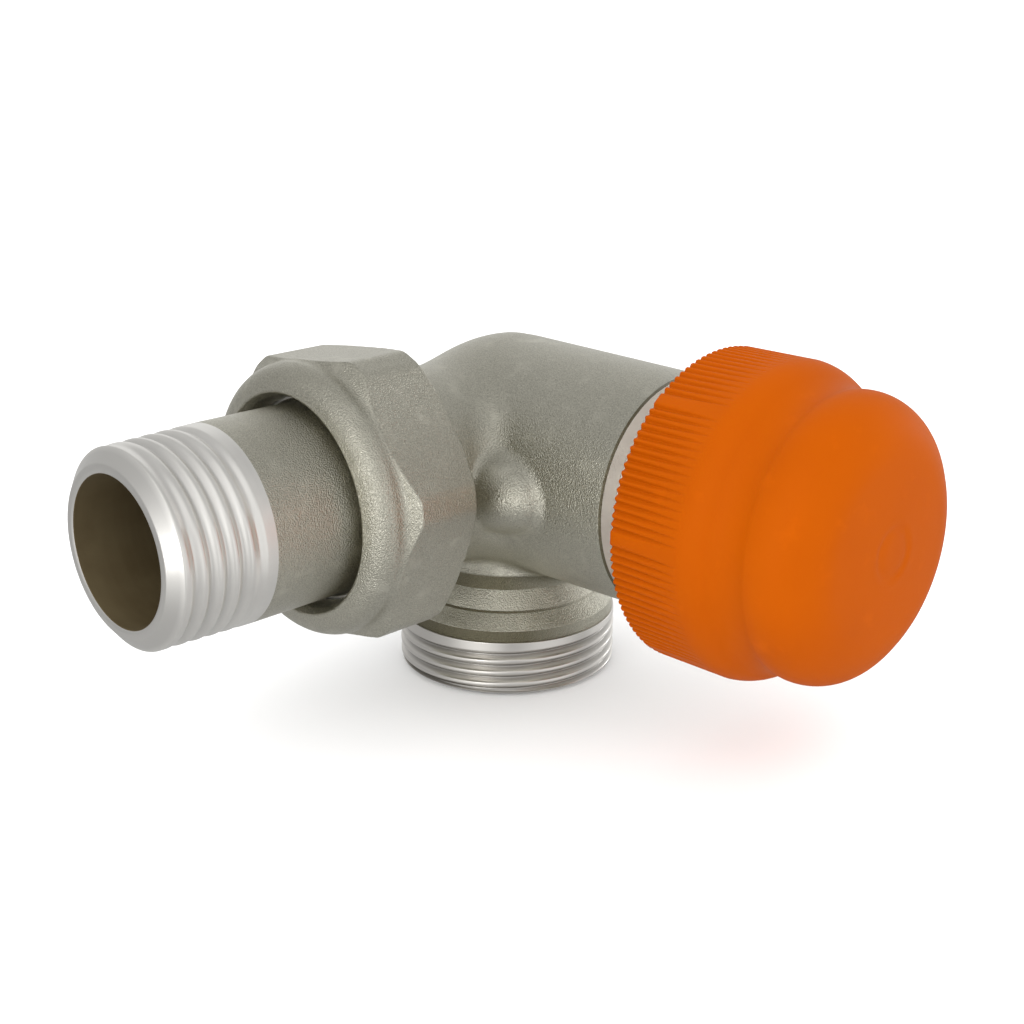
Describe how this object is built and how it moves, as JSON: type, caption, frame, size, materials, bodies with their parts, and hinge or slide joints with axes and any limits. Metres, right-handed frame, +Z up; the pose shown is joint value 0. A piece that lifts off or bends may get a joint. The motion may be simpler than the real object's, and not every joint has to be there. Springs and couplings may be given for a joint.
{
  "type": "thermostatic radiator valve",
  "caption": "Corner thermostatic radiator valve with three connections at right angles: threaded lower end, union tailpiece with hexagon nut, and ribbed protective cap over the insert.",
  "frame": {"origin": "centre of the lower connection's end face", "axes": "+X out along the valve insert and cap, -Y out along the union tailpiece, +Z up along the lower connection into the body"},
  "size_m": [0.0702, 0.0706, 0.0443],
  "materials": {
    "body_blasted": "satin nickel plate over a blasted brass casting",
    "machined_nickel": "nickel plate over turned brass",
    "brass": "turned brass",
    "stainless": "drawn stainless steel",
    "spring_steel": "stainless spring wire",
    "seal_rubber": "black EPDM",
    "cap_plastic": "orange moulded plastic, fine satin"
  },
  "bodies": {
    "valve": {"valve_body": "body_blasted", "insert_housing": "machined_nickel", "insert_o_ring": "seal_rubber", "guide_bush": "brass", "bush_circlip": "stainless", "gland_nut": "brass", "gland_o_ring": "seal_rubber", "gland_outer_o_ring": "seal_rubber", "return_spring": "spring_steel"},
    "stem": {"gland_pin": "stainless", "main_spindle": "stainless", "spindle_collar": "brass", "collar_clip": "stainless", "disc_carrier": "brass", "valve_disc": "seal_rubber", "disc_washer": "brass", "disc_nut": "brass"},
    "cap": {"protective_cap": "cap_plastic"},
    "tail": {"tailpiece": "body_blasted", "union_o_ring": "seal_rubber"},
    "nut": {"union_nut": "body_blasted"}
  },
  "joints": [
    {"name": "stem_travel", "type": "slide", "parent": "valve", "child": "stem", "axis": [1, 0, 0], "range_m": [-0.0025, 0], "deforming": ["return_spring"]},
    {"name": "cap_turn", "type": "hinge", "parent": "stem", "child": "cap", "pos_m": [0.04, 0, 0.0273], "axis": [1, 0, 0], "range_deg": [-600, 0]},
    {"name": "tailpiece_pull", "type": "slide", "parent": "valve", "child": "tail", "axis": [0, -1, 0], "range_m": [0, 0.0073]},
    {"name": "union_nut_turn", "type": "hinge", "parent": "tail", "child": "nut", "pos_m": [0, -0.025, 0.0273], "axis": [0, -1, 0], "range_deg": [0, 1440]}
  ],
  "couplings": [
    {"joint": "stem_travel", "follows": "cap_turn", "m_per_rad": 0.00023873},
    {"joint": "tailpiece_pull", "follows": "union_nut_turn", "m_per_rad": 0.00028871}
  ]
}
